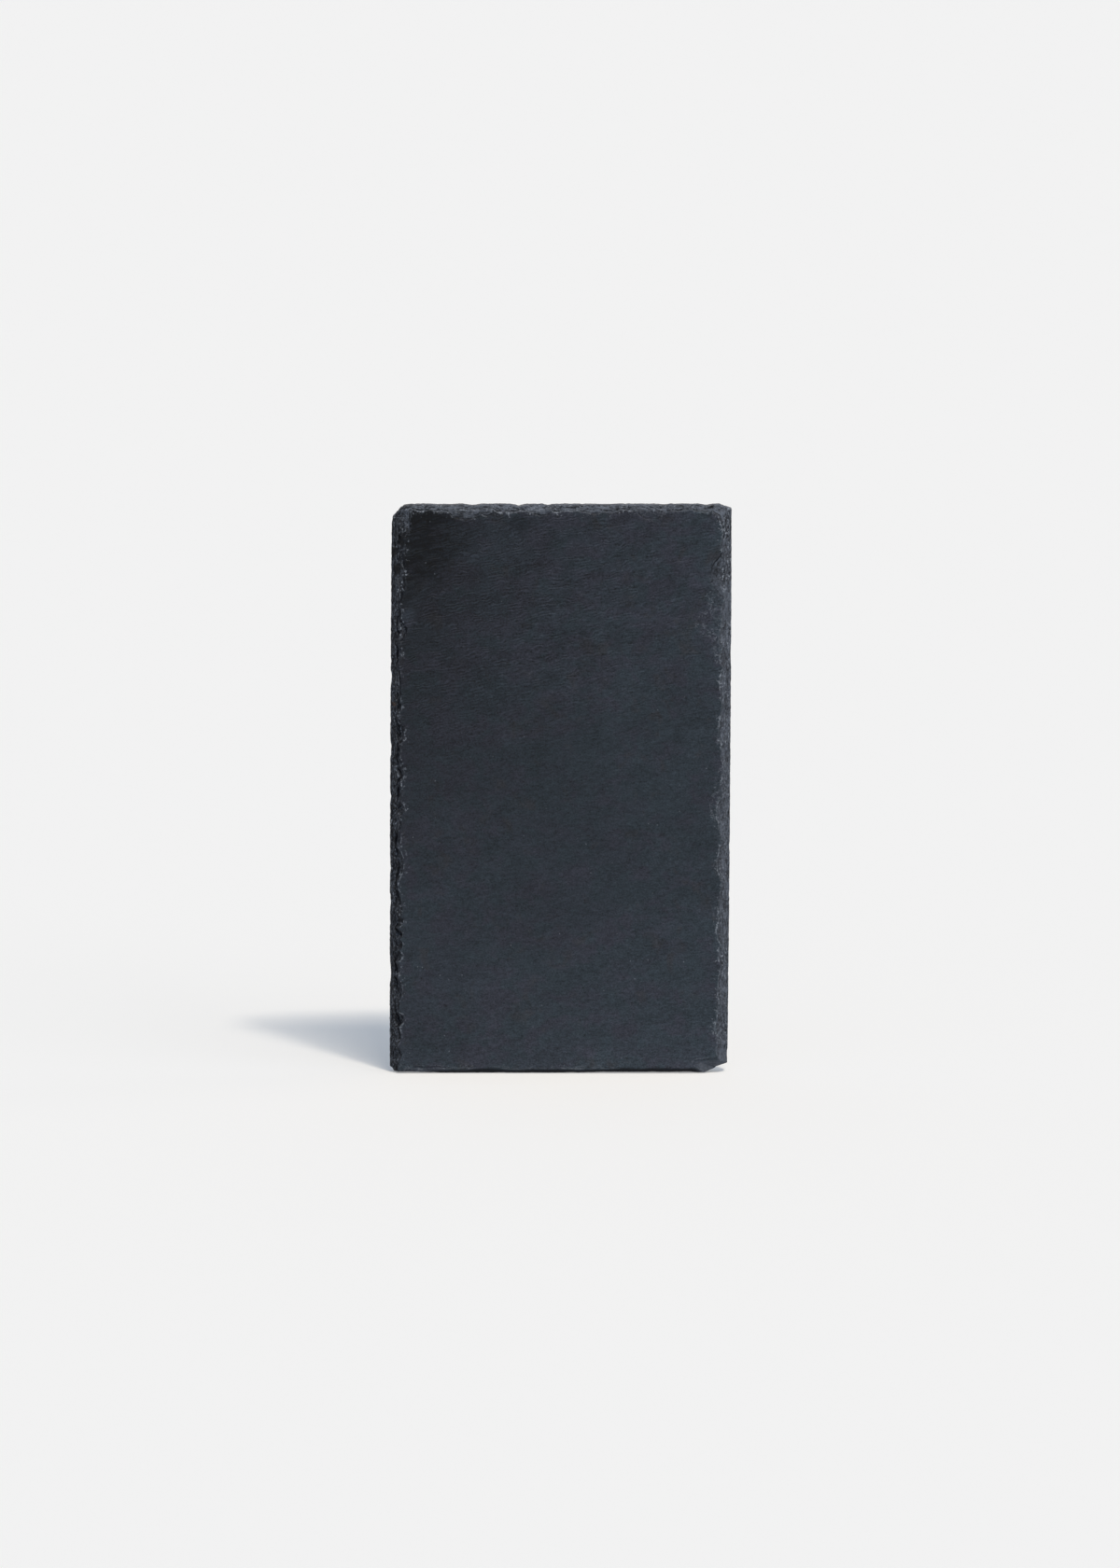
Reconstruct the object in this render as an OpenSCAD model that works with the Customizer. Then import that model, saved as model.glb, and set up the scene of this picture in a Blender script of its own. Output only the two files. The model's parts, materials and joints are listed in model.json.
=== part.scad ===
// Slate serving board with hand-dressed edges and four stick-on rubber feet.
// It stands on its lower short edge: +X to the right, +Z up the long side, and the
// serving face looks along -Y. The origin is under the middle of the board, on the
// surface that it stands on. In use it is laid on the feet, which are on its back.

/* [Slab] */
// Width of the stone across its two long edges
board_w = 129.5; // [100:0.5:240]
// Height of the stone between its two short edges
board_h = 220; // [150:1:400]
// Thickness of the stone
board_t = 8; // [5.5:0.5:14]
// How far the upper edge is set over to the right of the lower edge
board_skew = 1.5; // [0:0.1:4]

/* [Dressed edges] */
// Least width of the chipped bevel along the left edge
left_bevel_w = 4.8; // [3:0.1:9]
// Least width of the chipped bevel along the right edge
right_bevel_w = 4.2; // [3:0.1:9]
// Least width of the chipped bevel along the upper edge
top_bevel_w = 3; // [2:0.1:9]
// Least width of the chipped bevel along the lower edge
bottom_bevel_w = 2.2; // [2:0.1:9]
// Depth of the left and right bevels, from the serving face to the rim
side_bevel_d = 4.6; // [2:0.1:5]
// Depth of the upper bevel
top_bevel_d = 3.6; // [2:0.1:5]
// Depth of the lower bevel, small because the stone stands on what is left
bottom_bevel_d = 0.7; // [0.5:0.1:5]
// Height of the sharp step where the bevel breaks away from the serving face
break_step_h = 1; // [0.3:0.1:1.2]
// Mean length of one hammered chip along an edge
chip_len = 9; // [5:0.5:20]
// How far the deepest chips reach into the serving face past the least bevel
chip_reach = 1.2; // [0:0.1:1.8]
// How far the deepest nicks bite into the rim
nick_depth = 0.7; // [0:0.1:1.2]

/* [Corners] */
// Width of the piece broken off the upper left corner
top_left_cut_w = 4.6; // [0.5:0.1:8]
// Height of the piece broken off the upper left corner
top_left_cut_h = 4.8; // [0.5:0.1:8]
// Width of the piece broken off the upper right corner
top_right_cut_w = 4.4; // [0.5:0.1:8]
// Height of the piece broken off the upper right corner
top_right_cut_h = 1.8; // [0.5:0.1:8]
// Width of the piece broken off the lower right corner
bottom_right_cut_w = 8; // [0.5:0.1:12]
// Height of the piece broken off the lower right corner
bottom_right_cut_h = 3.8; // [0.5:0.1:8]
// Width of the piece broken off the lower left corner
bottom_left_cut_w = 1.6; // [0.5:0.1:8]
// Height of the piece broken off the lower left corner
bottom_left_cut_h = 1.8; // [0.5:0.1:8]

/* [Feet] */
// Diameter of a rubber foot
foot_d = 10; // [6:0.5:16]
// Height of a rubber foot, without its adhesive
foot_h = 2.25; // [2.25:0.05:5]
// Radius of the rounded shoulder of a foot
foot_round = 1; // [0.3:0.1:1.1]
// Distance from the long edges to the middle of a foot
foot_inset_x = 17; // [14:0.5:30]
// Distance from the short edges to the middle of a foot
foot_inset_z = 20; // [14:0.5:40]
// Diameter of the adhesive disc under a foot
adhesive_d = 9; // [4:0.5:15]
// Thickness of the adhesive disc
adhesive_t = 0.25; // [0.1:0.05:1]

/* [Detail] */
// Distance between two stations along the edges
station_gap = 2; // [1.5:0.25:4]
// Starting number of the repeatable random chips
chip_seed = 41; // [1:1:999]

/* [Hidden] */
$fn = 64;

slate_colour = "#31363d";
rubber_colour = "#1c1c1d";
adhesive_colour = "#cfc8b4";

// The serving face, the back and the soles of the feet, from front to back
total_depth = board_t + adhesive_t + foot_h;
face_y = -total_depth / 2;
back_y = face_y + board_t;
foot_y = back_y + adhesive_t;

// The four edges, anticlockwise as seen from the front
BOTTOM = 0;
RIGHT = 1;
TOP = 2;
LEFT = 3;
bevel_d = [bottom_bevel_d, side_bevel_d, top_bevel_d, side_bevel_d];
edge_len = [board_w, board_h, board_w, board_h];
inward = [[0, 1], [-1, 0], [0, -1], [1, 0]];
edge_count = len(edge_len);
// The cut [width, height] at the corner where each edge starts
corner_cut = [[bottom_left_cut_w, bottom_left_cut_h], [bottom_right_cut_w, bottom_right_cut_h],
    [top_right_cut_w, top_right_cut_h], [top_left_cut_w, top_left_cut_h]];

// Large flakes: [edge, place as a share of the edge, length in chips, reach in chip reaches]
large_flakes = [
    [RIGHT, 0.84, 4, 4], [RIGHT, 0.91, 1.8, 2.4], [RIGHT, 0.44, 2.7, 2.4],
    [RIGHT, 0.255, 1.6, 1.6], [RIGHT, 0.11, 1.8, 1.7],
    [TOP, 0.86, 2.4, 2], [TOP, 0.24, 2, 2.2], [TOP, 0.57, 1.6, 1],
    [LEFT, 0.19, 2.4, 1.3], [LEFT, 0.51, 2, 0.75]];

// Rings of the stone from its back rim to the serving face: share of the bevel's width
// that the ring is set in, and share of the slope between the rim and the break
RIM_BACK = 0;
RIM = 1;
SLOPE = 2;
STEP = 3;
FACE = 4;
ring_inset = [0, 0, 0.46, 0.9, 1];
slope_share = 0.55;
slope_jitter_d = 0.35;
// Chips die away over this length at the corners
corner_fade_len = 8;
// The smallest chip, as a share of the largest
least_chip = 0.35;
// How far the ends of the chips wander, as a share of a chip
chip_jitter = 0.6;
nicks_per_chip = 2.6;
// A nick starts only where its random size passes this share
nick_start = 0.45;
// Starting numbers of the random values, kept apart so that they don't repeat each other
bevel_seed = chip_seed;
size_seed = chip_seed + 10;
nick_seed = chip_seed + 20;
slope_seed = chip_seed + 60;
seed_stride = 1000;

// The edges that come before and after an edge
function before(edge) = (edge + edge_count - 1) % edge_count;
function after(edge) = (edge + 1) % edge_count;

// A repeatable random number from 0 to 1
function pick(i, seed) = rands(0, 1, 1, seed * seed_stride + i)[0];

// Where chip k starts, in chip lengths
function chip_start(k, seed) = k + chip_jitter * (pick(k, seed) - 0.5);

// The chip that holds place p, in chip lengths
function chip_at(p, seed) = let (k = floor(p))
    p < chip_start(k, seed) ? k - 1 : p >= chip_start(k + 1, seed) ? k + 1 : k;

// Scallops of random size: 0 at the cusp between two chips, up to 1 in the middle of one
function scallop(p, seed) = let (
        k = chip_at(p, seed),
        start = chip_start(k, seed),
        share = (p - start) / (chip_start(k + 1, seed) - start))
    (least_chip + (1 - least_chip) * pick(k, seed + size_seed)) * 4 * share * (1 - share);

// A smooth hump of height 1 on -1 to 1
function hump(x) = abs(x) < 1 ? pow(1 - x * x, 2) : 0;

// 0 at both ends of an edge, 1 along its middle
function fade(edge, s) = min(1, s / corner_fade_len, (edge_len[edge] - s) / corner_fade_len);

// How far the bevel at place s of an edge reaches past its least width
function bevel_extra(edge, s) = fade(edge, s) * (
    chip_reach * scallop(s / chip_len, bevel_seed + edge)
    + chip_reach * max([0, for (f = large_flakes) if (f[0] == edge)
        f[3] * hump(2 * (s - f[1] * edge_len[edge]) / (f[2] * chip_len))]));

// How far the rim is nicked at place s of an edge
function nick(edge, s) = fade(edge, s) * nick_depth / (1 - nick_start)
    * max(0, scallop(s * nicks_per_chip / chip_len, nick_seed + edge) - nick_start);

// Depth of the rim below the serving face, evened out towards the corners
function rim_depth(edge, s) = let (
        other = s < edge_len[edge] / 2 ? before(edge) : after(edge),
        corner = (bevel_d[edge] + bevel_d[other]) / 2)
    corner + (bevel_d[edge] - corner) * fade(edge, s);

// Corner where an edge starts, on the ring that is set in by a share of the bevels
function ring_corner(edge, inset) = [
    edge == BOTTOM || edge == LEFT ? -board_w / 2 + inset * left_bevel_w
        : board_w / 2 - inset * right_bevel_w,
    edge == BOTTOM || edge == RIGHT ? inset * bottom_bevel_w : board_h - inset * top_bevel_w];

// Moves a point that lies beyond a corner's cut back onto the cut
function cut_corner(p, corner, cut, into) = let (
        over = 1 - abs(p[0] - corner[0]) / cut[0] - abs(p[1] - corner[1]) / cut[1])
    over > 0 ? p + over / 2 * [into[0] * cut[0], into[1] * cut[1]] : p;

function cut_corners(p, inset, edge = 0) = edge == edge_count ? p
    : cut_corners(cut_corner(p, ring_corner(edge, inset), corner_cut[edge],
        inward[edge] + inward[before(edge)]), inset, edge + 1);

function skewed(p) = [p[0] + board_skew * (p[1] / board_h - 0.5), p[1]];

function stations(edge) = round(edge_len[edge] / station_gap);

// Depth of a ring below the serving face
function ring_depth(ring, edge, s, i) = let (rim = rim_depth(edge, s), step = min(break_step_h, rim / 2))
    ring == RIM_BACK ? board_t
    : ring == RIM ? rim
    : ring == SLOPE ? step + (rim - step) * slope_share + slope_jitter_d * (pick(i, slope_seed + edge) - 0.5)
    : ring == STEP ? step
    : 0;

// One ring of points round the stone
function ring(r) = [
    for (edge = [BOTTOM : LEFT])
        let (a = ring_corner(edge, ring_inset[r]), b = ring_corner(after(edge), ring_inset[r]))
            for (i = [0 : stations(edge) - 1])
                let (
                    share = i / stations(edge),
                    s = share * edge_len[edge],
                    reach = (1 - ring_inset[r]) * nick(edge, s) + ring_inset[r] * bevel_extra(edge, s),
                    p = skewed(cut_corners(a + share * (b - a) + reach * inward[edge], ring_inset[r])))
                    [p[0], face_y + ring_depth(r, edge, s, i), p[1]]];

// The stone: rings from the back rim to the edge of the serving face, closed by two flat faces
module slate_slab() {
    count = len(ring(FACE));
    points = [for (r = [RIM_BACK : FACE]) each ring(r)];
    walls = [for (r = [RIM_BACK : FACE - 1], i = [0 : count - 1])
        let (a = r * count + i, b = r * count + (i + 1) % count)
            each [[a, b + count, b], [a, a + count, b + count]]];
    back = [for (i = [0 : count - 1]) i];
    face = [for (i = [count - 1 : -1 : 0]) FACE * count + i];
    color(slate_colour) polyhedron(points, concat([back, face], walls), convexity = 4);
}

// Places what is drawn upwards on the back of the stone, behind one corner
module on_back(y, right, upper)
    translate([(right ? 1 : -1) * (board_w / 2 - foot_inset_x), y,
            upper ? board_h - foot_inset_z : foot_inset_z])
        rotate([-90, 0, 0])
            children();

// Thin disc of adhesive that joins a foot to the stone
module adhesive(right, upper)
    color(adhesive_colour) on_back(back_y, right, upper)
        cylinder(d = adhesive_d, h = adhesive_t);

// Moulded foot with a rounded shoulder and a flat sole
module foot(right, upper)
    color(rubber_colour) on_back(foot_y, right, upper)
        rotate_extrude() {
            square([foot_d / 2 - foot_round, foot_h]);
            square([foot_d / 2, foot_h - foot_round]);
            translate([foot_d / 2 - foot_round, foot_h - foot_round]) circle(r = foot_round);
        }

slate_slab();
adhesive(right = false, upper = true);  // adhesive_upper_left
adhesive(right = true, upper = true);  // adhesive_upper_right
adhesive(right = false, upper = false);  // adhesive_lower_left
adhesive(right = true, upper = false);  // adhesive_lower_right
foot(right = false, upper = true);  // foot_upper_left
foot(right = true, upper = true);  // foot_upper_right
foot(right = false, upper = false);  // foot_lower_left
foot(right = true, upper = false);  // foot_lower_right
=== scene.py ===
import json
import math

import bpy
import numpy as np
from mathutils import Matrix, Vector

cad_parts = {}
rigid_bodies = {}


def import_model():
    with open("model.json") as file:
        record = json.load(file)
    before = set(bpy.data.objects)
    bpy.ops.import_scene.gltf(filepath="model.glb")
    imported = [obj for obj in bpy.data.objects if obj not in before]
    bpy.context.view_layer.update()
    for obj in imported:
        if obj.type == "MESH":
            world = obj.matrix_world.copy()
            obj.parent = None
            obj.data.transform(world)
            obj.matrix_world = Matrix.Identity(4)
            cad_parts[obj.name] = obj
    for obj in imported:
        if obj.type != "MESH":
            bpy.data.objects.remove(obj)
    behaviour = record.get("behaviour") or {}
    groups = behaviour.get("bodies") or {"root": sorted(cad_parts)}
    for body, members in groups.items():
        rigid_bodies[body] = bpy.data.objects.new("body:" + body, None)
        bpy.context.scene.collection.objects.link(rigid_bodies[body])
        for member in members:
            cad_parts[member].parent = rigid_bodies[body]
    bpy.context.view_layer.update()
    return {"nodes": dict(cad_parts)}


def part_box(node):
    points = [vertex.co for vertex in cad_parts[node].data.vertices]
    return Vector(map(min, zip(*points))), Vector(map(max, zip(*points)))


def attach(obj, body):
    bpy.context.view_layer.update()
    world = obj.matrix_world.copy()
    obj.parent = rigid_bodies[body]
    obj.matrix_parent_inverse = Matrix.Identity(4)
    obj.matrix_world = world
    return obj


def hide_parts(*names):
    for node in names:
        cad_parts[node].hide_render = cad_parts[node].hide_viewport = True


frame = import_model()
mm = 0.001
scene = bpy.context.scene
print("frame loaded:", len(frame["nodes"]), "nodes")


# A number from 0 to 1 for each pair of whole numbers: their bits are mixed with a seed.
def latticeValue(i, j, seed):
    n = (i.astype(np.int64) * 374761393 + j.astype(np.int64) * 668265263 + seed * 974634777) & 0xFFFFFFFF
    n = ((n ^ (n >> 13)) * 1274126177) & 0xFFFFFFFF
    return ((n ^ (n >> 16)) & 0xFFFF) / 65535.0


# Smooth noise from -1 to 1: the values at a cell's corners, blended by 3t^2 - 2t^3 both ways.
def smoothNoise(x, y, seed):
    i, j = np.floor(x), np.floor(y)
    u, v = x - i, y - j
    u, v = u * u * (3 - 2 * u), v * v * (3 - 2 * v)
    low = latticeValue(i, j, seed) * (1 - u) + latticeValue(i + 1, j, seed) * u
    high = latticeValue(i, j + 1, seed) * (1 - u) + latticeValue(i + 1, j + 1, seed) * u
    return (low * (1 - v) + high * v) * 2 - 1


# Rough noise from -1 to 1: octaves of smooth noise, each twice as fine and half as strong.
def roughNoise(x, y, seed, octaves):
    parts = [smoothNoise(x * 2 ** k, y * 2 ** k, seed + 17 * k) / 2 ** k for k in range(octaves)]
    return sum(parts) / (2 - 2 ** (1 - octaves))


# 0 below low, 1 above high, and 3t^2 - 2t^3 between them.
def smoothStep(value, low, high):
    t = np.clip((value - low) / (high - low), 0, 1)
    return t * t * (3 - 2 * t)


# The stone: lengths in millimetres
stone = dict(
    skew=1.5,                                     # how far the upper edge is set over to the right
    stepsAcross=400, stepsUp=688,                 # points along the short and the long sides
    insets=((12, 10.8, 9.6), (8.6, 7.8, 7.1, 6.5, 5.95, 5.45, 5.0), (4.62, 22)),   # rings, inside to rim
    backInsets=((0, 0.45, 1.0), (2.2, 4.0), (7.0,)),
    reachOf=dict(left=1.0, right=1.15, top=0.9, bottom=0.7),   # how far the rings go in from each edge
    rippleTilt=math.radians(11),                  # the ripples rise to the right
    faceSet=0.14, rippleDepth=0.06, swellDepth=0.12,   # the split face: how far it is set in, its relief
    wallRows=4, wallRough=0.5,
    layerSeed=3, layers=26, thinnest=0.18, thicker=0.20,   # the layers it splits into, thicker the deeper
    layerVaries=(0.7, 1.3), treadWide=0.66, treadDrop=0.16,    # as shares of a layer's thickness
    backGrid=12, spallDepth=0.6, backSwell=0.10,  # the back: its grid's inset, chipped arris and swells
    clearOfFeet=(6, 14),                          # where its swells set in, from the middle of a foot
    bulge=0.3,                                    # how far the long sides bow out at mid height
    flare=0.55,                                   # how far the right side stands out at its foot
    sharpAngle=math.radians(38),                  # faces that meet at more than this show an edge
)

# Each edge: 1 if it stands upright, the bevel's usual width, the depth at its rim, the step where it
# breaks from the face, the length of its chips, how strongly layers show, how ragged rim and slope are,
# a crack along it, how pale it is (partly freshly broken stone, partly painted light: the right and top
# edges, which face the lamps, are painted paler and the left one darker), how many flecks lie beside it,
# and large flakes as place, length, reach and depth
edges = dict(
    left=dict(upright=1, seed=11, width=4.6, rim=4.2, step=0.3, chips=(5, 13), layered=0.6,
              ragged=0.40, rough=0.55, crack=1.2, pale=-0.04, flecks=0.95,
              flakes=((193, 30, 5.6, 2.6), (212, 12, 6.4, 2.2), (172, 12, 6.0, 1.6), (150, 16, 4.6, 2.0),
                      (98, 12, 4.8, 1.6), (63, 14, 5.0, 1.4), (30, 10, 4.6, 1.8))),
    right=dict(upright=1, seed=23, width=4.0, rim=4.2, step=0.4, chips=(8, 20), layered=0.85,
               ragged=0.26, rough=0.34, crack=0, pale=0.72, flecks=1.0,
               flakes=((193, 20, 8.4, 1.6), (184, 12, 10.2, 0.8), (175, 15, 13.5, 0.45), (166, 9, 7.2, 0.8),
                       (104, 36, 7.4, 0.7), (61, 15, 6.2, 0.8), (26, 12, 4.8, 0.8), (131, 9, 5.6, 0.6))),
    top=dict(upright=0, seed=37, width=2.4, rim=3.5, step=0.5, chips=(5, 14), layered=0.85,
             ragged=0.55, rough=0.50, crack=0, pale=1.02, flecks=1.0,
             flakes=((-36.5, 14, 6.0, 1.3), (-28, 8, 4.6, 1.2), (-46, 8, 3.0, 1.0), (34, 11, 5.8, 0.7),
                     (-7, 11, 4.2, 1.2), (12, 12, 3.8, 1.0))),
    bottom=dict(upright=0, seed=53, width=1.7, rim=0.8, step=0.16, chips=(6, 18), layered=0.6,
                ragged=0.16, rough=0.16, crack=0, pale=0.25, flecks=0.25,
                flakes=((-48, 22, 3.2, 0.7), (-22, 14, 2.8, 0.45), (14, 20, 3.0, 0.4), (44, 10, 2.8, 0.5))),
)

# How every edge was struck: the row of chips, in shares of a chip's length and of the bevel's width, how
# far its border strays, its step's width in mm, then the same of the flakes, and the crack's seat
dressing = dict(
    chipSpread=0.6, chipGap=(0.6, 1.0), chipReach=(0.85, 1.25), leastReach=0.72,
    stray=0.14, stepWide=0.5, flakeStray=0.16, flakeStep=0.4, flakeStepWide=0.6,
    crackSeat=0.66, crackStray=0.26, crackWide=0.11,
    biteLong=5.5, biteDeep=1.3, jagLong=1.1, jagDeep=0.55,    # nicks in the rim
)

# The lower edge: where along x it is undercut, how high, how unevenly and how deep, with a painted
# shadow line laid along the undercut stretch, and where it lifts off the ground: by how much, and from
# where to where out from the middle
lowerEdge = dict(
    cutStarts=(-62, -32), cutEnds=(50, 58), cutHigh=2.2, cutVaries=1.0, cutDeep=1.5,
    liftLeft=(0.6, 35, 62), liftRight=(0.3, 5, 20), liftHigh=6,
)

# Each corner: width and height broken off, then the chip inside it: its width and height, its depth,
# the share of that in a step at its border, how strongly layers show in it and how pale it is, partly
# painted light (the corners on the right, facing the lamps, are painted paler)
corners = dict(
    topLeft=dict(cut=(4.7, 4.9), chip=(10, 11), deep=2.0, step=0.3, layered=0.6, pale=0.0),
    topRight=dict(cut=(4.6, 1.7), chip=(7, 18), deep=2.2, step=0.3, layered=0.7, pale=1.1),
    bottomRight=dict(cut=(8.6, 3.6), chip=(18, 9.5), deep=1.6, step=0.0, layered=0.0, pale=0.5),
    bottomLeft=dict(cut=(1.7, 1.9), chip=(4, 5), deep=1.0, step=0.2, layered=0.3, pale=-0.2),
)

# Patches set paler or darker: centre, half width, half height, how pale and how flecked they are
patches = (
    (63.4, 211, 4.0, 8, 0.45, 1.9), (62.0, 196, 6, 8, 0.35, 2.2), (-61.3, 189, 1.8, 5.5, 0.2, 3.2),
    (-58.8, 175, 2.6, 5, 0.3, 2.6), (-44, 218, 22, 6, 0.75, 1.2), (-60.4, 206.5, 1.9, 3.0, -1.4, 0.0),
    (-63.9, 202, 1.5, 2.0, -1.4, 0.0), (-62.3, 195.4, 1.6, 2.6, -1.4, 0.0), (-42, 4.0, 17, 3.0, 1.2, 0.6),
    (61, 5, 11, 7, 0.9, 0.0),
)


# Depth that the hammer took off along one edge. The bevel's border is a row of arcs, and with t the
# distance from the rim as a share of that width, the depth is a step near the border plus a straight
# slope to the rim. A flake drops by a share of its depth at its elliptical border and by the rest
# straight towards its middle. Fine streaks roughen both, and a crack is a groove at its own share of t.
# Also the distances beyond the bevel's and the flakes' borders.
def bevelDepth(edge, along, away):
    seed, width = edge["seed"], edge["width"]
    rng = np.random.default_rng(seed)
    line = np.linspace(-90, 240, 3301)
    reach, place = np.full(line.size, dressing["leastReach"]), line[0]
    while place < line[-1]:
        size = rng.uniform(*edge["chips"])
        arc = np.sqrt(np.clip(1 - ((line - place) / (dressing["chipSpread"] * size)) ** 2, 0, 1))
        reach = np.maximum(reach, rng.uniform(*dressing["chipReach"]) * arc)
        place += size * rng.uniform(*dressing["chipGap"])
    wander = roughNoise(along / 3.6, away / 1.5, seed, 4)
    t = away / (width * np.interp(along, line, reach)) + dressing["stray"] * wander
    inside, beyond, flaked = np.clip(1 - t, 0, 1.3), (t - 1) * width, 6 + 0 * t
    broke = smoothStep(inside, 0, dressing["stepWide"] / width)
    depth = edge["step"] * broke + (edge["rim"] - edge["step"]) * inside
    for place, size, flakeReach, deep in edge["flakes"]:
        e = np.hypot((along - place) / (size / 2), away / flakeReach)
        e = e + dressing["flakeStray"] * roughNoise(along / 4.2, away / 3.0, seed + 7, 3)
        flaked = np.minimum(flaked, (e - 1) * flakeReach)
        broke = smoothStep(1 - e, 0, dressing["flakeStepWide"] / flakeReach)
        share = dressing["flakeStep"] * broke + (1 - dressing["flakeStep"]) * np.clip(1 - e, 0, 1)
        depth = np.maximum(depth, deep * share)
    streak = roughNoise(along / 5.0, away / 1.0, seed + 13, 3)
    streak = streak + 0.5 * roughNoise(along / 1.3, away / 0.8, seed + 19, 2)
    depth = np.maximum(depth + edge["rough"] * streak * smoothStep(depth, 0.05, 1.2), 0)
    cracked = smoothStep(roughNoise(along / 7.0, 0 * along, seed + 29, 4), -0.35, 0.35)
    seat = dressing["crackSeat"] + dressing["crackStray"] * roughNoise(along / 6.0, 0 * along, seed + 31, 4)
    depth = depth + edge["crack"] * cracked * np.exp(-((t - seat) / dressing["crackWide"]) ** 2)
    return depth, layeredDepth(depth, edge["layered"]), beyond, flaked


# Layers of uneven thickness, thicker with depth: the surface stays near one, then drops to the next.
def layeredDepth(depth, share):
    rng = np.random.default_rng(stone["layerSeed"])
    layers = [0.0]
    for _ in range(stone["layers"]):
        usual = stone["thinnest"] + stone["thicker"] * layers[-1]
        layers.append(layers[-1] + rng.uniform(*stone["layerVaries"]) * usual)
    layers = np.array(layers)
    edge = layers[:-1] + stone["treadWide"] * np.diff(layers)
    tread = layers[:-1] + stone["treadDrop"] * np.diff(layers)
    before = np.concatenate([np.stack([layers[:-1], edge], 1).ravel(), layers[-1:]])
    after = np.concatenate([np.stack([layers[:-1], tread], 1).ravel(), layers[-1:]])
    return depth + share * (np.interp(depth, before, after) - depth)


# Distances from the four edges, and for each corner those from its two edges and the signs of the way in
def edgeDistances(x, z, width, height):
    away = dict(left=x + width / 2, right=width / 2 - x, bottom=z, top=height - z)
    atCorner = dict(topLeft=(away["left"], away["top"], 1, -1),
                    topRight=(away["right"], away["top"], -1, -1),
                    bottomRight=(away["right"], away["bottom"], -1, 1),
                    bottomLeft=(away["left"], away["bottom"], 1, 1))
    return away, atCorner


# Depth of the dressed edges at points x, z: the deepest bevel or corner chip, where a corner chip's
# depth falls off straight to the line a + b = 1, with a and b the distances as shares of its sides. Also
# that depth before layering, how far a point lies beyond the nearest border and flake, and how pale it
# is, which is partly painted light on the edges facing the lamps.
def dressedDepth(x, z, width, height):
    away, atCorner = edgeDistances(x, z, width, height)
    along = dict(left=z, right=z, bottom=x, top=x)
    struck = [bevelDepth(edges[name], along[name], away[name]) for name in edges]
    plain, layered, beyond, flaked = zip(*struck)
    plain, layered = np.maximum.reduce(plain), np.maximum.reduce(layered)
    beyond, flaked = np.minimum.reduce(beyond), np.minimum.reduce(flaked)
    pale = nearestOf("pale", away)
    for k, (name, (acrossX, acrossZ, _, _)) in enumerate(atCorner.items()):
        corner = corners[name]
        wide, high = corner["chip"]
        e = acrossX / wide + acrossZ / high + 0.10 * roughNoise(x / 4.5, z / 4.5, 131 + k, 3)
        chip = corner["deep"] * (corner["step"] * smoothStep(1 - e, 0, 0.08) + 1.4 * np.clip(1 - e, 0, 1))
        plain = np.maximum(plain, chip)
        layered = np.maximum(layered, layeredDepth(chip, corner["layered"]))
        beyond = np.minimum(beyond, (e - 1) * min(wide, high) * 0.7)
        pale = pale + (corner["pale"] - pale) * smoothStep(1 - e, 0, 0.15)
    pale = patched(pale, 4, x, z)
    return layered + lowerEdge["cutDeep"] * undercut(x, z) ** 2, plain, beyond, flaked, pale


# A value of the edges blended over the board: each counts by e to the minus a third of its distance.
def nearestOf(value, away):
    nearness = {n: np.exp(-np.clip(d, 0, 60) / 3) for n, d in away.items()}
    return sum(edges[n][value] * nearness[n] for n in edges) / sum(nearness.values())


# A trait drawn towards each patch's own value inside its ellipse, fading out over the outer half
def patched(values, which, x, z):
    for patch in patches:
        far = np.hypot((x - patch[0]) / patch[2], (z - patch[1]) / patch[3])
        values = values + (patch[which] - values) * (1 - smoothStep(far, 0.5, 1))
    return values


# 1 at the lower rim where it is undercut, falling to 0 at the stretch's ends and about 2 mm up
def undercut(x, z):
    up = lowerEdge["cutHigh"] + lowerEdge["cutVaries"] * roughNoise(x / 9, 0 * x, 59, 2)
    stretch = smoothStep(x, *lowerEdge["cutStarts"]) * (1 - smoothStep(x, *lowerEdge["cutEnds"]))
    return stretch * np.clip(1 - z / up, 0, 1)


# Inward shift of the rim: rare bites from the peaks of a coarse noise, and fine jags everywhere.
def rimNick(edge, along):
    zero = 0 * along
    bites = roughNoise(along / dressing["biteLong"], zero, edge["seed"] + 71, 2)
    bites = np.maximum(bites - 0.15, 0) / 0.85
    jags = 0.5 + 0.5 * roughNoise(along / dressing["jagLong"], zero, edge["seed"] + 83, 2)
    return edge["ragged"] * (dressing["biteDeep"] * bites + dressing["jagDeep"] * jags)


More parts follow.
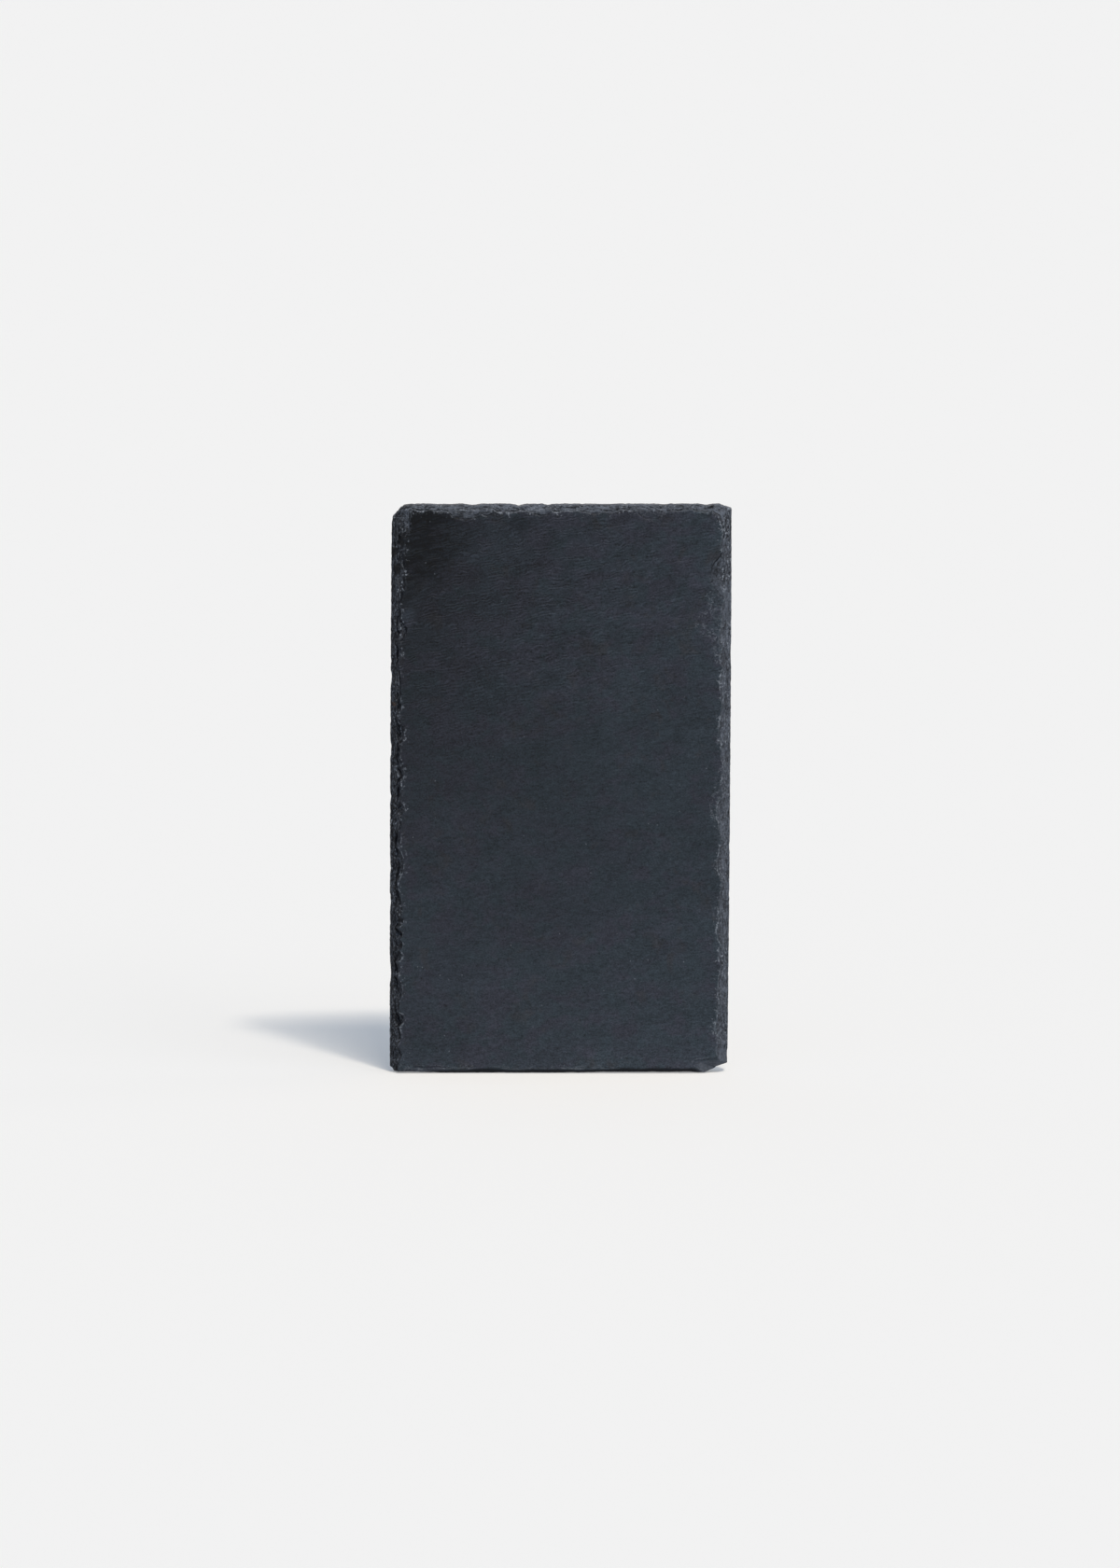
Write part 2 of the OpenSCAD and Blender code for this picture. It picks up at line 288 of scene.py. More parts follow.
# Moves points x, z of the plain rectangle to the stone's outline: the sides bow out, the right one more
# the lower it is, nicks fade out 4 mm inside, the lower edge lifts at its ends, a corner is drawn in
# along its diagonal by half of what |b - a| leaves of 1, fading out three cuts inside, and the whole
# leans by the skew.
def outlined(x, z, width, height):
    away, atCorner = edgeDistances(x, z, width, height)
    along = dict(left=z, right=z, bottom=x, top=x)
    nick = {n: rimNick(edges[n], along[n]) * np.clip(1 - away[n] / 4, 0, 1) ** 2 for n in edges}
    (liftLeft, *leftSpan), (liftRight, *rightSpan) = lowerEdge["liftLeft"], lowerEdge["liftRight"]
    lift = liftLeft * smoothStep(-x, *leftSpan) + liftRight * smoothStep(x, *rightSpan)
    nick["bottom"] = nick["bottom"] + lift * np.clip(1 - z / lowerEdge["liftHigh"], 0, 1) ** 2
    bowed = (1 - np.abs(2 * z / height - 1) ** 3) * np.clip(np.abs(2 * x / width) * 4 - 3, 0, 1)
    flared = np.clip(1 - z / height, 0, 1) * np.clip(x / width * 8 - 3, 0, 1)
    px = x + nick["left"] - nick["right"] + stone["bulge"] * bowed * np.sign(x) + stone["flare"] * flared
    pz = z + nick["bottom"] - nick["top"]
    for name, (acrossX, acrossZ, signX, signZ) in atCorner.items():
        wide, high = corners[name]["cut"]
        a, b = acrossX / wide, acrossZ / high
        pull = 0.5 * np.clip(1 - np.abs(b - a), 0, 1) * np.clip(1 - np.minimum(a, b) / 3, 0, 1)
        px, pz = px + signX * pull * wide, pz + signZ * pull * high
    return px + stone["skew"] * (pz / height - 0.5), pz


# Points round a rectangle whose sides lie inset from the stone's edges, anticlockwise from its lower
# left corner, with every so many of the points along each side
def insetRing(inset, every, width, height):
    reach = stone["reachOf"]
    left, right = -width / 2 + inset * reach["left"], width / 2 - inset * reach["right"]
    bottom, top = inset * reach["bottom"], height - inset * reach["top"]
    u = np.arange(0, stone["stepsAcross"], every) / stone["stepsAcross"]
    v = np.arange(0, stone["stepsUp"], every) / stone["stepsUp"]
    x = np.concatenate([left + (right - left) * u, 0 * v + right, right - (right - left) * u, 0 * v + left])
    z = np.concatenate([0 * u + bottom, bottom + (top - bottom) * v, 0 * u + top, top - (top - bottom) * v])
    return x, z


# The grid inside the innermost ring, whose border is that ring
def insetGrid(inset, every, width, height):
    ringX, ringZ = insetRing(inset, every, width, height)
    return np.meshgrid(np.linspace(ringX.min(), ringX.max(), stone["stepsAcross"] // every + 1),
                       np.linspace(ringZ.min(), ringZ.max(), stone["stepsUp"] // every + 1))


# Four-sided faces of a grid of vertex numbers, anticlockwise as seen from the front
def gridFaces(grid):
    return np.stack([grid[:-1, :-1], grid[:-1, 1:], grid[1:, 1:], grid[1:, :-1]], -1).reshape(-1, 4)


# Vertex numbers round a grid's border, anticlockwise as seen from the front
def borderRing(grid):
    return np.concatenate([grid[0, :-1], grid[:-1, -1], grid[-1, :0:-1], grid[:0:-1, 0]])


# Faces between two rings, the first nearer the middle of the front: four-sided where they have as
# many points, else three triangles for each two points of the ring that has twice as many
def joinRings(a, b):
    nextA, nextB = np.roll(a, -1), np.roll(b, -1)
    if len(a) == len(b):
        return np.stack([a, b, nextB, nextA], -1), np.zeros((0, 3), int)
    if len(a) > len(b):
        a0, a1, a2 = a[::2], a[1::2], np.roll(a, -2)[::2]
        parts = ((a0, b, a1), (a1, b, nextB), (a1, nextB, a2))
    else:
        b0, b1, b2 = b[::2], b[1::2], np.roll(b, -2)[::2]
        parts = ((a, b0, b1), (a, b1, nextA), (nextA, b1, b2))
    return np.zeros((0, 4), int), np.concatenate([np.stack(p, -1) for p in parts])


# How far the split face lies below its highest point: slow swells, and short ripples that rise to
# the right and are strongest near the top
def faceRelief(x, z):
    c, s = math.cos(stone["rippleTilt"]), math.sin(stone["rippleTilt"])
    u, v = x * c + z * s, z * c - x * s
    ripple = smoothNoise(u / 9, v / 2.6, 5) + 0.6 * smoothNoise(u / 6, v / 2.2, 6)
    upper = 0.25 + 0.75 * smoothStep(z + 14 * smoothNoise(x / 40, z / 40, 8), 110, 185)
    swell = roughNoise(x / 30, z / 22, 7, 3)
    return stone["faceSet"] + stone["rippleDepth"] * upper * ripple + stone["swellDepth"] * swell


# The stone as one closed surface of rings: front, rim wall and back, each point (x, y, z) from its plan
# x, z, moved to the outline, and with y the face's or the back's plane set in by the depth there
def buildStone():
    low, high = (np.array(corner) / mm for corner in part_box("slate_slab"))
    width, height = high[0] - low[0] - stone["skew"], high[2]
    frontY, backY = low[1], high[1]

    # the front: a grid in the middle, then rings of ever more points out to the rim
    quarter, half, (fineReach, fineRings) = stone["insets"]
    fine = np.linspace(fineReach, 0, fineRings + 1)
    plan = [(v, 4) for v in quarter[1:]] + [(v, 2) for v in half] + [(v, 1) for v in fine]
    gridX, gridZ = insetGrid(quarter[0], 4, width, height)
    rings = [insetRing(v, every, width, height) for v, every in plan]
    x = np.concatenate([gridX.ravel(), *[r[0] for r in rings]])
    z = np.concatenate([gridZ.ravel(), *[r[1] for r in rings]])
    removed, plain, beyond, flaked, pale = dressedDepth(x, z, width, height)
    broken = smoothStep(removed, 0.25, 0.9)
    depth = removed + (1 - 0.6 * broken) * faceRelief(x, z)
    px, pz = outlined(x, z, width, height)
    front = np.stack([px, frontY + depth, pz], -1)

    # creases lie below the mean around them
    near = [(0.5, 0), (-0.5, 0), (0, 0.5), (0, -0.5)]
    sunk = removed - sum(dressedDepth(x + dx, z + dz, width, height)[0] for dx, dz in near) / len(near)

    # the back: the same outline, a thin chipped arris, and slow swells clear of the feet
    backPlan = [(v, every) for every, part in zip((1, 2, 4), stone["backInsets"]) for v in part]
    backGridX, backGridZ = insetGrid(stone["backGrid"], 8, width, height)
    backRings = [insetRing(v, every, width, height) for v, every in backPlan]
    bx = np.concatenate([*[r[0] for r in backRings], backGridX.ravel()])
    bz = np.concatenate([*[r[1] for r in backRings], backGridZ.ravel()])
    border = np.minimum.reduce(list(edgeDistances(bx, bz, width, height)[0].values()))
    spall = np.clip(1 - border / (1.0 + 0.8 * smoothNoise(bx / 5, bz / 5, 61)), 0, 1)
    spall = stone["spallDepth"] * spall * (0.55 + 0.45 * smoothNoise(bx / 3, bz / 3, 63))
    pads = [(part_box(n)[0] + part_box(n)[1]) / 2 / mm for n in frame["nodes"] if n.startswith("adhesive")]
    clear = [smoothStep(np.hypot(bx - p.x, bz - p.z), *stone["clearOfFeet"]) for p in pads]
    clear = np.minimum.reduce(clear)
    swell = np.clip(stone["backSwell"] * (1 + roughNoise(bx / 26, bz / 20, 67, 3)), 0, 1)
    bpx, bpz = outlined(bx, bz, width, height)
    back = np.stack([bpx, backY - spall - clear * swell * smoothStep(border, 0, 3), bpz], -1)

    # the rim wall between them: rings on the straight line from front to back, dented inwards
    rim, rear = front[-len(rings[-1][0]):], back[:len(rings[-1][0])]
    across, up = stone["stepsAcross"], stone["stepsUp"]
    inward = np.repeat([[0, 0, 1], [-1, 0, 0], [0, 0, -1], [1, 0, 0]], [across, up, across, up], axis=0)
    place = np.cumsum(np.linalg.norm(np.diff(rim, axis=0, prepend=rim[:1]), axis=1))
    wall = []
    for k in range(1, stone["wallRows"]):
        share = k / stone["wallRows"]
        dent = stone["wallRough"] * (0.45 + 0.55 * roughNoise(place / 3.2, 0 * place + 4.7 * k, 73, 3))
        wall.append(rim * (1 - share) + rear * share + inward * dent[:, None])
    wall = np.concatenate(wall)

    # faces: two grids, and every pair of neighbouring rings from the front's grid to the back's
    frontGrid = np.arange(gridX.size).reshape(gridX.shape)
    backStart = len(front) + len(wall) + len(back) - backGridX.size
    backGrid = backStart + np.arange(backGridX.size).reshape(backGridX.shape)
    sizes = [len(r[0]) for r in rings] + [len(rim)] * (stone["wallRows"] - 1) + [len(r[0]) for r in backRings]
    ends = gridX.size + np.cumsum([0, *sizes])
    between = [np.arange(a, b) for a, b in zip(ends[:-1], ends[1:])]
    chain = [borderRing(frontGrid), *between, borderRing(backGrid)]
    joined = [joinRings(a, b) for a, b in zip(chain[:-1], chain[1:])]
    quads = np.concatenate([gridFaces(frontGrid), gridFaces(backGrid)[:, ::-1], *[j[0] for j in joined]])
    triangles = np.concatenate([j[1] for j in joined])

    # what the finish follows: broken stone, its depth, the way to its border and to the flakes', creases
    # (for painted shade), how pale (partly painted light) and how flecked the nearest edge is, and whether
    # that edge stands upright
    away = edgeDistances(x, z, width, height)[0]
    upright = nearestOf("upright", away)
    wallPaleAndLit, wallUpright = (np.tile(t[-len(rim):], stone["wallRows"] - 1) for t in (pale, upright))
    # the undercut stretch of the lower rim: no bruised lines there, and a painted shadow line through the
    # crease shade
    under = smoothStep(undercut(x, z), 0.0, 0.6)
    ones, zeros = np.ones(len(wall)), np.zeros(len(back))
    traits = dict(
        broken=np.concatenate([broken, ones, smoothStep(spall, 0.02, 0.15)]),
        depth=np.concatenate([plain * (1 - under), 3 * ones, spall]),
        beyond=np.concatenate([np.clip(beyond, -3, 6) + 9 * under, -3 * ones, 6 + zeros]),
        flaked=np.concatenate([np.clip(flaked, -6, 6) + 9 * under, -3 * ones, 6 + zeros]),
        # painted shade: how far a point sinks below its neighbours, at least 0.16 along the undercut lower
        # edge as a painted shadow line, and a little on the whole rim wall
        crease=np.concatenate([np.clip(sunk, 0.16 * under, 1), 0.04 * ones, zeros]),
        pale=np.concatenate([pale, wallPaleAndLit, zeros]),
        flecks=np.concatenate([patched(nearestOf("flecks", away), 5, x, z), 0.2 * ones, zeros]),
        upright=np.concatenate([upright, wallUpright, zeros]),
    )
    return np.concatenate([front, wall, back]) * mm, quads, triangles, traits


# A mesh object from whole arrays of points, four-sided and three-sided faces, and point traits
def meshPiece(name, points, quads, triangles, traits):
    mesh = bpy.data.meshes.new(name)
    mesh.vertices.add(len(points))
    mesh.vertices.foreach_set("co", points.astype(np.float32).ravel())
    corners4, corners3 = quads.ravel(), triangles.ravel()
    mesh.loops.add(len(corners4) + len(corners3))
    mesh.loops.foreach_set("vertex_index", np.concatenate([corners4, corners3]).astype(np.int32))
    mesh.polygons.add(len(quads) + len(triangles))
    starts = np.concatenate([np.arange(len(quads)) * 4, len(corners4) + np.arange(len(triangles)) * 3])
    mesh.polygons.foreach_set("loop_start", starts.astype(np.int32))
    mesh.update(calc_edges=True)
    mesh.validate()
    for trait, values in traits.items():
        mesh.attributes.new(trait, "FLOAT", "POINT").data.foreach_set("value", values.astype(np.float32))
    mesh.shade_smooth()
    mesh.set_sharp_from_angle(angle=stone["sharpAngle"])
    piece = bpy.data.objects.new(name, mesh)
    scene.collection.objects.link(piece)
    return piece


slab = meshPiece("slate_board", *buildStone())
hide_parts("slate_slab")
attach(slab, "root")
triangles = len(slab.data.loops) - 2 * len(slab.data.polygons)
print("stone:", len(slab.data.polygons), "faces,", triangles, "triangles")


# A socket in a material: + - * / and ** on sockets and numbers add Math nodes.
class Wire:
    def __init__(self, tree, socket):
        self.tree, self.socket = tree, socket

    # Any node: its type, its settings, its sockets' values or links, and which output is wanted.
    def node(self, kind, settings=None, inputs=None, output=0):
        made = self.tree.nodes.new(kind)
        for key, value in (settings or {}).items():
            if key == "stops":
                for _ in range(len(value) - 2):
                    made.color_ramp.elements.new(0.5)
                for element, (place, colour) in zip(made.color_ramp.elements, value):
                    element.position, element.color = place, (*colour, 1)
            else:
                setattr(made, key, value)
        for key, value in (inputs or {}).items():
            if isinstance(value, Wire):
                self.tree.links.new(value.socket, made.inputs[key])
            else:
                made.inputs[key].default_value = value
        return Wire(self.tree, made.outputs[output])

    # One Math node: its operation, and two sockets or numbers
    def math(self, operation, a, b):
        return self.node("ShaderNodeMath", dict(operation=operation), {0: a, 1: b})

    def __add__(self, other): return self.math("ADD", self, other)
    def __radd__(self, other): return self.math("ADD", other, self)
    def __sub__(self, other): return self.math("SUBTRACT", self, other)
    def __rsub__(self, other): return self.math("SUBTRACT", other, self)
    def __mul__(self, other): return self.math("MULTIPLY", self, other)
    def __rmul__(self, other): return self.math("MULTIPLY", other, self)
    def __truediv__(self, other): return self.math("DIVIDE", self, other)
    def __pow__(self, other): return self.math("POWER", self, other)

    # 0 below low, 1 above high, smooth between
    def ramp(self, low, high):
        return self.node("ShaderNodeMapRange", dict(interpolation_type="SMOOTHSTEP"),
                         {"Value": self, "From Min": low, "From Max": high})

    # Colours a and b mixed by this factor
    def blend(self, a, b):
        a, b = (c if isinstance(c, Wire) else (*c, 1) for c in (a, b))
        return self.node("ShaderNodeMix", dict(data_type="RGBA"), {0: self, 6: a, 7: b}, 2)

    # This colour with each channel times a factor
    def times(self, factor):
        grey = self.node("ShaderNodeCombineColor", None, {0: factor, 1: factor, 2: factor})
        return self.node("ShaderNodeMix", dict(data_type="RGBA", blend_type="MULTIPLY"),
                         {0: 1.0, 6: self, 7: grey}, 2)

    # Noise whose grain has this size in millimetres along x, y and z, turned about y
    def grain(self, size, detail=2, rough=0.5, turn=0, warp=0):
        at = self.node("ShaderNodeMapping", dict(vector_type="TEXTURE"),
                       {"Vector": self, "Rotation": (0, -turn, 0), "Scale": tuple(s * mm for s in size)})
        return self.node("ShaderNodeTexNoise", None,
                         {"Vector": at, "Scale": 1, "Detail": detail, "Roughness": rough, "Distortion": warp})

    # The normal of a relief this many millimetres high, laid over another normal if one is given
    def bump(self, height, strength, distance, under=None):
        links = {"Strength": strength, "Distance": distance * mm, "Height": height}
        if under:
            links["Normal"] = under
        return self.node("ShaderNodeBump", None, links)


# A new material: its shader node, its object coordinates, and a way to link into the shader
def newFinish(name, **constants):
    finish = bpy.data.materials.new(name)
    finish.use_nodes = True
    shader = finish.node_tree.nodes["Principled BSDF"]
    for socket, value in constants.items():
        shader.inputs[socket.replace("_", " ")].default_value = value
    at = finish.node_tree.nodes.new("ShaderNodeTexCoord")

    def feed(socket, wire):
        finish.node_tree.links.new(wire.socket, shader.inputs[socket])
    return finish, Wire(finish.node_tree, at.outputs["Object"]), feed


# Colours are linear. Dark patches and scuffs: x, z, half width, half height, strength. Rust: x, z, size.
slateLook = dict(
    blue=(0.0237, 0.0299, 0.0403), plum=(0.0261, 0.0292, 0.0409), sea=(0.0221, 0.0310, 0.0400),
    brown=(0.0260, 0.0279, 0.0336), night=(0.0040, 0.0055, 0.0090), rust=(0.0560, 0.0300, 0.0160),
    breakDark=(0.0132, 0.0138, 0.0158), breakMid=(0.0394, 0.0449, 0.0559), breakPale=(0.1160, 0.1340, 0.1700),
    bruise=(0.2600, 0.2900, 0.3420), specular=0.16,
    darkPatches=((-16, 213.5, 5, 3.5, 0.45),), scuffs=((-57.6, 176, 3.6, 6.5, 0.42), (18, 6, 16, 7, 0.16)),
    rustSpots=((-63.4, 143.4, 1.2),),
    smudgeFoot=(-57.7, 183.4), smudgeRise=(-0.573, 0.82), smudgeFades=(-52, -22),   # the dark upper left
    # the face's lightness and its change per mm: lighter to the right and lower down, partly painted light
    light=0.96, lightRight=0.0021, upperLightRight=0.0042,    # of the face, and its change per mm
    lightBelow=110, lightDown=0.0044, lipBelow=12, lipLight=0.010,
    grainStrength=1.6, dotStrength=2.0, cloudStrength=0.6,
    wrinkleTilt=math.radians(13), wrinklePitch=1.25, wrinkleToneAndShading=0.46,
    speckCell=1.7, speckStrength=0.4,
    paleAndLitGrade=0.40, middleGrade=0.36,                         # from how pale an edge is, partly painted light on the edges facing the lamps, to its tone
    layerShadingStrength=0.5, seamStrength=1.3, fibreStrength=1.3, crumbStrength=1.2,
    cleftShadeStrength=0.9, streakStrength=0.60, spotStrength=0.85, creaseShadeStrength=0.92,
    roughness=0.62, brokenRougher=0.12,
)


# Slate: the split face's tints, light and wrinkles, over them the broken edges by their traits, and
# over both what was bruised (partly painted highlight) or stained, and painted shade in clefts and creases
def slateFinish():
    look = slateLook
    finish, at, feed = newFinish("slate", Specular_IOR_Level=look["specular"])
    names = ("broken", "depth", "beyond", "flaked", "crease", "pale", "flecks", "upright")
    trait = {n: at.node("ShaderNodeAttribute", dict(attribute_name=n), None, 2) for n in names}
    x, z = (at.node("ShaderNodeSeparateXYZ", None, {"Vector": at}, k) / mm for k in (0, 2))

    # the split face: four tints in soft patches, and a dark smudge above a slanting line, upper left
    slow = at.grain((60, 60, 45), 3)
    upper = (z + (slow - 0.5) * 70).ramp(95, 185)
    teal = (at.grain((9, 9, 7), 3, 0.55, warp=0.4) + x * 0.0009 - upper * 0.04).ramp(0.42, 0.60)
    rusty = at.grain((8, 8, 9), 3, 0.55, warp=0.4).ramp(0.58, 0.72)
    colour = at.grain((13, 13, 9), 2).ramp(0.42, 0.6).blend(look["blue"], look["plum"])
    colour = (teal * 0.8).blend(colour, look["sea"])
    colour = (rusty * 0.7).blend(colour, look["brown"])
    ragged = (at.grain((11, 11, 6), 4, 0.62, math.radians(20)) - 0.5) * 26
    (footX, footZ), (riseX, riseZ) = look["smudgeFoot"], look["smudgeRise"]
    above = ((z - footZ) * riseZ + (x - footX) * riseX + ragged).ramp(-4, 9)
    wisps = 0.48 + at.grain((7, 7, 1.7), 3, 0.6, look["wrinkleTilt"]).ramp(0.36, 0.6) * 0.58
    smudge = above * (1 - (x + ragged * 0.5).ramp(*look["smudgeFades"])) * wisps

    # the distance from a spot's centre, as a share of its half width and half height
    def farFrom(spotX, spotZ, wide, high):
        return (((x - spotX) / wide) ** 2 + ((z - spotZ) / high) ** 2) ** 0.5

    for *spot, strength in look["darkPatches"]:
        smudge = smudge + (1 - (farFrom(*spot) + ragged * 0.05).ramp(0.3, 1.1)) * strength
    colour = smudge.blend(colour, look["night"])

    # light and dark: a slow slope over the board, lighter to the right and lower down, which is partly
    # painted light (falloff from the lamps and bounce from the floor), fine grain, and clusters of short
    # wrinkles near the top
    toneAndPaintedLight = look["light"] + x * (look["lightRight"] + upper * look["upperLightRight"]) + (slow - 0.5) * 0.5
    toneAndPaintedLight = toneAndPaintedLight + z.math("MAXIMUM", look["lightBelow"] - z, 0) * look["lightDown"]
    toneAndPaintedLight = toneAndPaintedLight + z.math("MAXIMUM", look["lipBelow"] - z, 0) * look["lipLight"]
    for *spot, strength in look["scuffs"]:
        toneAndPaintedLight = toneAndPaintedLight + (1 - (farFrom(*spot) + ragged * 0.06).ramp(0.2, 1.1)) * strength
    cloud = at.grain((13, 13, 7), 3, 0.55, math.radians(20), 0.5)
    fine = at.grain((2.0, 2.0, 0.75), 4, 0.64, math.radians(4))
    dots = at.grain((0.62, 0.62, 0.52), 2, 0.6)
    c, s = math.cos(look["wrinkleTilt"]), math.sin(look["wrinkleTilt"])
    bend = (at.grain((9, 9, 6), 2) - 0.5) * 3.4 + (at.grain((3.0, 3.0, 2.0), 2) - 0.5) * 1.9
    wave = ((z * c - x * s) / look["wrinklePitch"] + bend) * 2 * math.pi
    wave = wave.math("SINE", wave, 0)
    wave = wave * at.grain((5.5, 5.5, 2.6), 2, 0.5, look["wrinkleTilt"]).ramp(0.40, 0.62)
    wave = (wave + wave * wave * 0.5) * (0.10 + upper * 0.90) * (1 - x.ramp(-30, 60) * 0.5)
    speckled = (fine - 0.5) * look["grainStrength"] + (dots - 0.5) * look["dotStrength"]
    speckled = speckled * (0.96 + upper * 0.12 + smudge * 0.4)
    clouded = (cloud - 0.5) * (look["cloudStrength"] + upper * 0.4)
    # the colour times the slope (partly painted light) and the grain, clouds and wrinkle stripes (partly
    # painted shading of the wrinkles' relief)
    colour = colour.times(toneAndPaintedLight * (1 + speckled + wave * look["wrinkleToneAndShading"] + clouded))

    # a few pale specks, one at the middle of a chosen cell
    cells = dict(Vector=at, Scale=1 / (look["speckCell"] * mm))
    middle = 1 - at.node("ShaderNodeTexVoronoi", None, cells).ramp(0.06, 0.22)
    cellColour = at.node("ShaderNodeTexVoronoi", None, cells, 1)
    chosen = at.node("ShaderNodeSeparateColor", None, {"Color": cellColour})
    speck = middle * (chosen + (110 - z) * 0.0004).ramp(0.91, 0.97)
    speck = speck * at.grain((16, 16, 16), 2).ramp(0.46, 0.60)
    colour = (speck * look["speckStrength"]).blend(colour, look["bruise"])

    # the broken edges: layers as contours of the depth, thicker the deeper, each a sawtooth from light at
    # its edge to dark below it, partly painted shading of the layer steps, and fibres along the edge
    stray = at.grain((2.6, 2.6, 2.6), 4, 0.62) - 0.5
    layerShading = trait["depth"] * 1.1 + 1
    layerShading = layerShading.math("LOGARITHM", layerShading, math.e) * 5 + stray * 2.4
    layerShading = layerShading.math("FRACT", layerShading, 0)
    seam = at.grain((7.0, 0.6, 7.0), 3, 0.62, warp=0.6)
    lying = at.grain((3.0, 0.9, 0.6), 3, 0.62, math.radians(7), 0.5)
    standing = at.grain((0.7, 0.9, 1.7), 3, 0.62, math.radians(4), 0.5)
    fibre = lying + (standing - lying) * trait["upright"]
    crumb = at.grain((0.8, 0.8, 0.8), 2, 0.6)
    blotch = (at.grain((5.0, 5.0, 4.0), 3, 0.55) - 0.5) * (0.4 + trait["pale"] * 1.2)
    calm = (trait["upright"] * trait["pale"]).ramp(0.42, 0.70)    # the pale upright edge is smoother
    lively = (trait["flecks"].math("MINIMUM", trait["flecks"], 1) * 0.65 + 0.35) * (1 - calm * 0.25)
    mottled = blotch + (layerShading - 0.5) * look["layerShadingStrength"] + (seam - 0.5) * look["seamStrength"]
    mottled = mottled + (fibre - 0.5) * look["fibreStrength"] + (crumb - 0.5) * look["crumbStrength"]
    grade = trait["pale"] * look["paleAndLitGrade"] + look["middleGrade"] + mottled * lively
    stops = ((0.05, look["breakDark"]), (0.42, look["breakMid"]), (1.0, look["breakPale"]))
    colour = trait["broken"].blend(colour, at.node("ShaderNodeValToRGB", dict(stops=stops), {"Fac": grade}))

    # black clefts, painted shade, in the dark upright edge that faces away from the lamps, and a spot of rust
    cleftShade = at.grain((1.3, 1.3, 3.0), 3, 0.6, math.radians(-10), 0.9).ramp(0.54, 0.61) * trait["broken"]
    cleftShade = cleftShade * (trait["upright"] * (1 - trait["pale"])).ramp(0.5, 1.1)
    colour = (cleftShade * look["cleftShadeStrength"]).blend(colour, look["night"])
    for spotX, spotZ, size in look["rustSpots"]:
        far = farFrom(spotX, spotZ, size, size) + (crumb - 0.5) * 1.5
        colour = ((1 - far.ramp(0.3, 1.0)) * 0.8).blend(colour, look["rust"])

    # thin bruised lines at the border and curls in the flakes, brighter where the edge faces the lamps, so
    # partly painted highlight, loose flecks near both, and creases darkened as painted shade
    hit = at.grain((5, 5, 5), 3, 0.6).ramp(0.38, 0.62)
    # painted highlight: the lines are brighter on the paler edges that face the lamps
    light = trait["pale"] * 0.55 + 0.45
    off = trait["beyond"] + stray * 0.9
    line = 1 - off.math("ABSOLUTE", off, 0).ramp(0.05, 0.40)
    curl = trait["flaked"] / 3.2 + at.grain((2.2, 2.2, 1.7), 3, 0.55, math.radians(-20), 0.8) * 3.4
    curl = curl.math("FRACT", curl, 0)
    curl = curl.ramp(0.55, 0.85) * (1 - curl.ramp(0.86, 1.0)) * at.grain((3, 3, 3), 2).ramp(0.36, 0.52)
    curl = curl * (1 - trait["flaked"].ramp(-0.2, 0.6)) * (1 - trait["broken"] * 0.5)
    flecks = at.grain((0.9, 0.9, 1.1), 3, 0.6)
    near = 1 - trait["beyond"].ramp(0.2, 2.8)
    spots = (flecks + (crumb - 0.5) * 0.4 + near * 0.10 + line * 0.08).ramp(0.64, 0.80)
    spots = spots * near * trait["flecks"] * look["spotStrength"]
    streaks = line.math("MAXIMUM", line * (0.25 + flecks.ramp(0.42, 0.6) * 0.75), curl * 0.7)
    streaks = streaks * light * look["streakStrength"]
    bruisedAndHighlit = streaks.math("MAXIMUM", streaks, spots) * (0.2 + hit * 0.8)
    colour = bruisedAndHighlit.blend(colour, look["bruise"])
    # painted shade: creases, the rim wall and the undercut lower edge darkened towards near black, less on
    # the calm right edge
    creaseShadeMask = (trait["crease"] * 5).ramp(0.06, 0.8) * (look["creaseShadeStrength"] - calm * 0.40)
    colour = creaseShadeMask.blend(colour, look["night"])
    feed("Base Color", colour)
    feed("Roughness", look["roughness"] + (fine - 0.5) * 0.25 + trait["broken"] * look["brokenRougher"])

    # relief too fine for the mesh
    face = at.bump(fine * 0.5 + dots * 0.2 + wave * 0.3, 0.9, 0.22)
    grit = (seam * 0.8 + fibre * 0.9 + crumb * 0.3) * trait["broken"] * lively
    feed("Normal", at.bump(grit, 0.9, 0.5, face))
    return finish


slab.data.materials.append(slateFinish())
print("slate finish made")

rubberLook = dict(dark=(0.0100, 0.0100, 0.0105), worn=(0.0240, 0.0240, 0.0245), specular=0.35)


# Black rubber, worn grey in clouds and finely pimpled
def rubberFinish():
    finish, at, feed = newFinish("rubber", Specular_IOR_Level=rubberLook["specular"])
    cloud = at.grain((2.4, 2.4, 2.4), 4, 0.6)
    pimple = at.grain((0.16, 0.16, 0.16), 2, 0.5)
    feed("Base Color", cloud.ramp(0.42, 0.75).blend(rubberLook["dark"], rubberLook["worn"]))
    feed("Roughness", 0.62 + (cloud - 0.5) * 0.3)
    feed("Normal", at.bump(pimple, 0.35, 0.05))
    return finish


adhesiveLook = dict(clear=(0.55, 0.51, 0.40), milky=(0.70, 0.67, 0.58), specular=0.45)


# Yellowish adhesive, milky in clouds
def adhesiveFinish():
    finish, at, feed = newFinish("adhesive", Specular_IOR_Level=adhesiveLook["specular"])
    cloud = at.grain((0.8, 0.8, 0.8), 4, 0.6)
    feed("Base Color", cloud.ramp(0.35, 0.7).blend(adhesiveLook["clear"], adhesiveLook["milky"]))
    feed("Roughness", 0.36 + (cloud - 0.5) * 0.2)
    feed("Normal", at.bump(cloud, 0.3, 0.05))
    return finish


for start, finish in (("foot", rubberFinish()), ("adhesive", adhesiveFinish())):
    for name, node in frame["nodes"].items():
        if name.startswith(start):
            node.data.materials.clear()
            node.data.materials.append(finish)
print("feet and adhesive finished")

